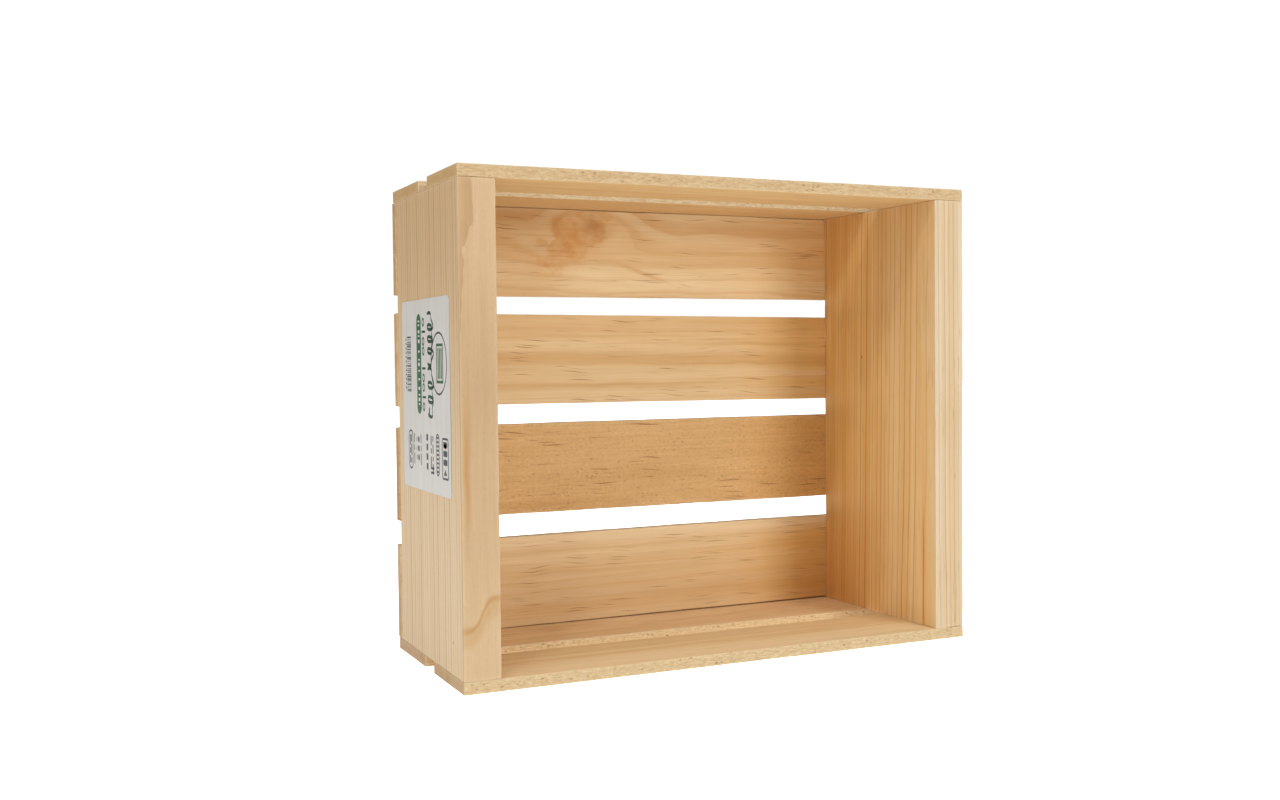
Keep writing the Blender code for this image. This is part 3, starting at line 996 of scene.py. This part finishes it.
def print_badges(label):
    """Frames, bars and dots in the place of badges and small print."""
    label.frame("black", 0.705, 0.915, 0.045, 0.175, 0.011, 0.025)
    label.words("black", 0.725, 0.070, 0.148, (0.030, 0.030, 0.030), 0.014, 0.008)
    label.bar("red", 0.735, 0.760, 0.085, 0.135, 0.01)
    label.shape("black", ((0.862, 0.110), (0.893, 0.078), (0.893, 0.142)))
    label.frame("black", 0.690, 0.905, 0.225, 0.290, 0.009, 0.03)
    for row in range(9):
        u = 0.705 + row * 0.0215
        label.bar("black", u, u + 0.011, 0.238, 0.277, 0.003)
    for row, lengths in enumerate(((0.03, 0.05, 0.024, 0.045), (0.05, 0.03, 0.055))):
        v = 0.345 + row * 0.038
        label.words("black", 0.705, v, v + 0.016, lengths, 0.013, 0.005)
    label.words("black", 0.865, 0.335, 0.400, (0.012, 0.012), 0.012, 0.003)
    label.words("black", 0.700, 0.455, 0.490, (0.034, 0.034, 0.034, 0.034), 0.016, 0.004)
    for column in range(3):
        u = 0.735 + column * 0.048
        label.shape("black", circle(u, 0.655, 0.017, 20))
        label.bar("black", u - 0.012, u + 0.012, 0.690, 0.700)
    for v in (0.600, 0.745):
        label.words("black", 0.705, v, v + 0.013, (0.05, 0.03, 0.06), 0.012, 0.004)
    label.frame("black", 0.690, 0.900, 0.780, 0.880, 0.009, 0.04)
    label.words("black", 0.715, 0.808, 0.826, (0.04, 0.06, 0.03), 0.012, 0.005)
    label.words("black", 0.715, 0.838, 0.856, (0.06, 0.03, 0.04), 0.012, 0.005)


def paper_material():
    """Coated paper over planed wood: faint fibres and the grain ghosting through."""
    g = Graph("label_paper_face")
    place = g.place((0.0, 0.0, 0.0), "XYZ")
    ghost = g.noise_at(place, (0.2, 0.33, 0.012), 3.0)
    fibre = g.noise_at(place, (2.2, 2.2, 2.2), 3.0, 0.7)
    tone = g.add(g.mul(ghost, 0.6), g.mul(fibre, 0.4))
    colour = g.mix(g.ease(tone, 0.35, 0.65), (0.660, 0.630, 0.585), (0.715, 0.688, 0.645))
    g.bump(tone, 0.06 * MM, 0.35)
    g.shader.inputs["Coat Weight"].default_value = 0.12
    return g.finish(Base_Color=colour, Roughness=g.ease(fibre, 0.2, 0.8, 0.42, 0.55))


def ink_material(name, colour):
    """Printed ink, slightly uneven where the roller lost pressure."""
    g = Graph(f"ink_{name}")
    place = g.place((0.0, 0.0, 0.0), "XYZ")
    patch = g.noise_at(place, (1.7, 1.7, 1.7), 4.0, 0.7)
    thin = tuple(0.72 * channel + 0.28 * 0.5 for channel in colour)
    tone = g.mix(g.ease(patch, 0.52, 0.80, 0.0, 0.6), colour, thin)
    return g.finish(Base_Color=tone, Roughness=g.ease(patch, 0.3, 0.7, 0.38, 0.5))


def add_label():
    """The paper sheet, then its printing as one piece to an ink."""
    label = Label()
    width = label.high.y - label.low.y
    height = label.high.z - label.low.z
    outline = []
    corners = ((width / 2, height / 2, 0), (-width / 2, height / 2, 1),
               (-width / 2, -height / 2, 2), (width / 2, -height / 2, 3))
    for y, z, quarter in corners:
        middle = (y - math.copysign(LABEL_RADIUS, y), z - math.copysign(LABEL_RADIUS, z))
        for step in range(SHEET_CORNER_STEPS + 1):
            turn = (quarter + step / SHEET_CORNER_STEPS) * math.pi / 2
            outline.append((middle[0] + LABEL_RADIUS * math.cos(turn),
                            middle[1] + LABEL_RADIUS * math.sin(turn)))
    mid = (label.low + label.high) / 2
    count = len(outline)
    vertices = [(label.paper, mid.y + y, mid.z + z) for y, z in outline]
    vertices += [(label.paper - PAPER_THICKNESS, mid.y + y, mid.z + z) for y, z in outline]
    faces = [list(range(count)), list(range(2 * count - 1, count - 1, -1))]
    for i in range(count):
        j = (i + 1) % count
        faces.append([i + count, j + count, j, i])
    paper = new_object("label_sheet", vertices, faces, paper_material(), False)
    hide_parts("label")

    print_title(label)
    print_size_band(label)
    print_stock_bars(label)
    print_badges(label)
    colours = {"green": GREEN, "title": TITLE, "black": BLACK, "red": RED, "white": WHITE}
    for ink, shapes in label.inks.items():
        vertices, faces = [], []
        for outline in shapes:
            faces.append(list(range(len(vertices), len(vertices) + len(outline))))
            vertices += outline
        if ink == "white":
            vertices = [(x - INK_LIFT / 2, y, z) for x, y, z in vertices]
        new_object(f"label_ink_{ink}", vertices, faces, ink_material(ink, colours[ink]),
                   False)


# ---- studio --------------------------------------------------------------------------

DIFFUSE_BOUNCES = 8
FLOOR_SIZE = 12.0
FLOOR_GLOW = 0.40
FLOOR_SEEN_GLOW = 1.0
WALL_LIGHT = 0.05
WALL_WHITE = 1.05
SOFTBOX_DISTANCE = 2.0
SOFTBOX_AIM = (0.0, 0.0, 0.13)
SOFTBOXES = (
    ("left_low", 70.0, 12.0, 7.3, 0.9), ("left_high", 70.0, 45.0, 5.2, 0.9),
    ("key", 42.0, 50.0, 5.8, 0.22), ("right_low", -20.0, 12.0, 11.3, 0.45),
    ("right_high", -22.0, 45.0, 6.6, 0.6), ("overhead", 0.0, 89.0, 16.0, 0.9),
    ("behind", 200.0, 35.0, 5.0, 0.9),
)
CAMERA_PLACE = (-0.33736, -0.67450, 0.16130)
CAMERA_YAW = 24.768
CAMERA_PITCH = -1.787
CAMERA_ROLL = 0.57
CAMERA_LENS = 37.587
CAMERA_SENSOR = 36.0
CAMERA_CLIP = (0.01, 50.0)


def add_camera():
    """The photograph's viewpoint, in degrees and millimetres of lens."""
    data = bpy.data.cameras.new("camera")
    data.lens = CAMERA_LENS
    data.sensor_width = CAMERA_SENSOR
    data.clip_start, data.clip_end = CAMERA_CLIP
    camera = bpy.data.objects.new("camera", data)
    yaw = Euler((0.0, 0.0, -math.radians(CAMERA_YAW))).to_matrix()
    pitch = Euler((math.radians(90.0 + CAMERA_PITCH), 0.0, 0.0)).to_matrix()
    roll = Euler((0.0, 0.0, -math.radians(CAMERA_ROLL))).to_matrix()
    camera.matrix_world = (yaw @ pitch @ roll).to_4x4()
    camera.location = CAMERA_PLACE
    bpy.context.scene.collection.objects.link(camera)
    bpy.context.scene.camera = camera


def add_floor():
    """A pale table, overlit so that the camera sees it clean white, with no shadow."""
    half = FLOOR_SIZE / 2
    mesh = bpy.data.meshes.new("floor")
    mesh.from_pydata(
        [(-half, -half, 0.0), (half, -half, 0.0), (half, half, 0.0), (-half, half, 0.0)],
        [], [(0, 1, 2, 3)],
    )
    g = Graph("floor_paper")
    place = g.place((0.0, 0.0, 0.0), "XYZ")
    tone = g.noise_at(place, (0.002, 0.002, 0.002), 2.0)
    colour = g.mix(tone, (0.90, 0.90, 0.90), (0.92, 0.92, 0.92))
    seen = g.mul(g.camera_ray(), FLOOR_SEEN_GLOW)
    g.shader.inputs["Emission Color"].default_value = (1.0, 1.0, 1.0, 1.0)
    mesh.materials.append(g.finish(
        Base_Color=colour, Roughness=0.9, Emission_Strength=g.add(seen, FLOOR_GLOW)))
    floor = bpy.data.objects.new("floor", mesh)
    bpy.context.scene.collection.objects.link(floor)


def add_softbox(name, azimuth, elevation, power, size):
    """A square softbox aimed at the crate. Azimuth turns from the mouth side to the left."""
    turn, lift = math.radians(azimuth), math.radians(elevation)
    out = Vector((-math.sin(turn) * math.cos(lift), -math.cos(turn) * math.cos(lift),
                  math.sin(lift)))
    data = bpy.data.lights.new(name, "AREA")
    data.shape = "SQUARE"
    data.size = size
    data.energy = power
    lamp = bpy.data.objects.new(name, data)
    lamp.location = Vector(SOFTBOX_AIM) + out * SOFTBOX_DISTANCE
    lamp.rotation_euler = out.to_track_quat("Z", "Y").to_euler()
    bpy.context.scene.collection.objects.link(lamp)


def add_world():
    """White walls seen by the camera, which add only a little light of their own."""
    world = bpy.data.worlds.new("white_room")
    world.use_nodes = True
    tree = world.node_tree
    path = tree.nodes.new("ShaderNodeLightPath")
    level = tree.nodes.new("ShaderNodeMapRange")
    level.inputs["To Min"].default_value = WALL_LIGHT
    level.inputs["To Max"].default_value = WALL_WHITE
    tree.links.new(path.outputs["Is Camera Ray"], level.inputs["Value"])
    background = tree.nodes["Background"]
    background.inputs["Color"].default_value = (1.0, 1.0, 1.0, 1.0)
    tree.links.new(level.outputs[0], background.inputs["Strength"])
    bpy.context.scene.world = world


def add_studio():
    bpy.context.scene.view_settings.view_transform = "Standard"
    bpy.context.scene.cycles.diffuse_bounces = DIFFUSE_BOUNCES
    add_world()
    add_floor()
    for name, azimuth, elevation, power, size in SOFTBOXES:
        add_softbox(name, azimuth, elevation, power, size)
    add_camera()


def main():
    add_studio()
    for name, look in BOARDS.items():
        add_board(name, look)
    finish_brads()
    add_label()


main()
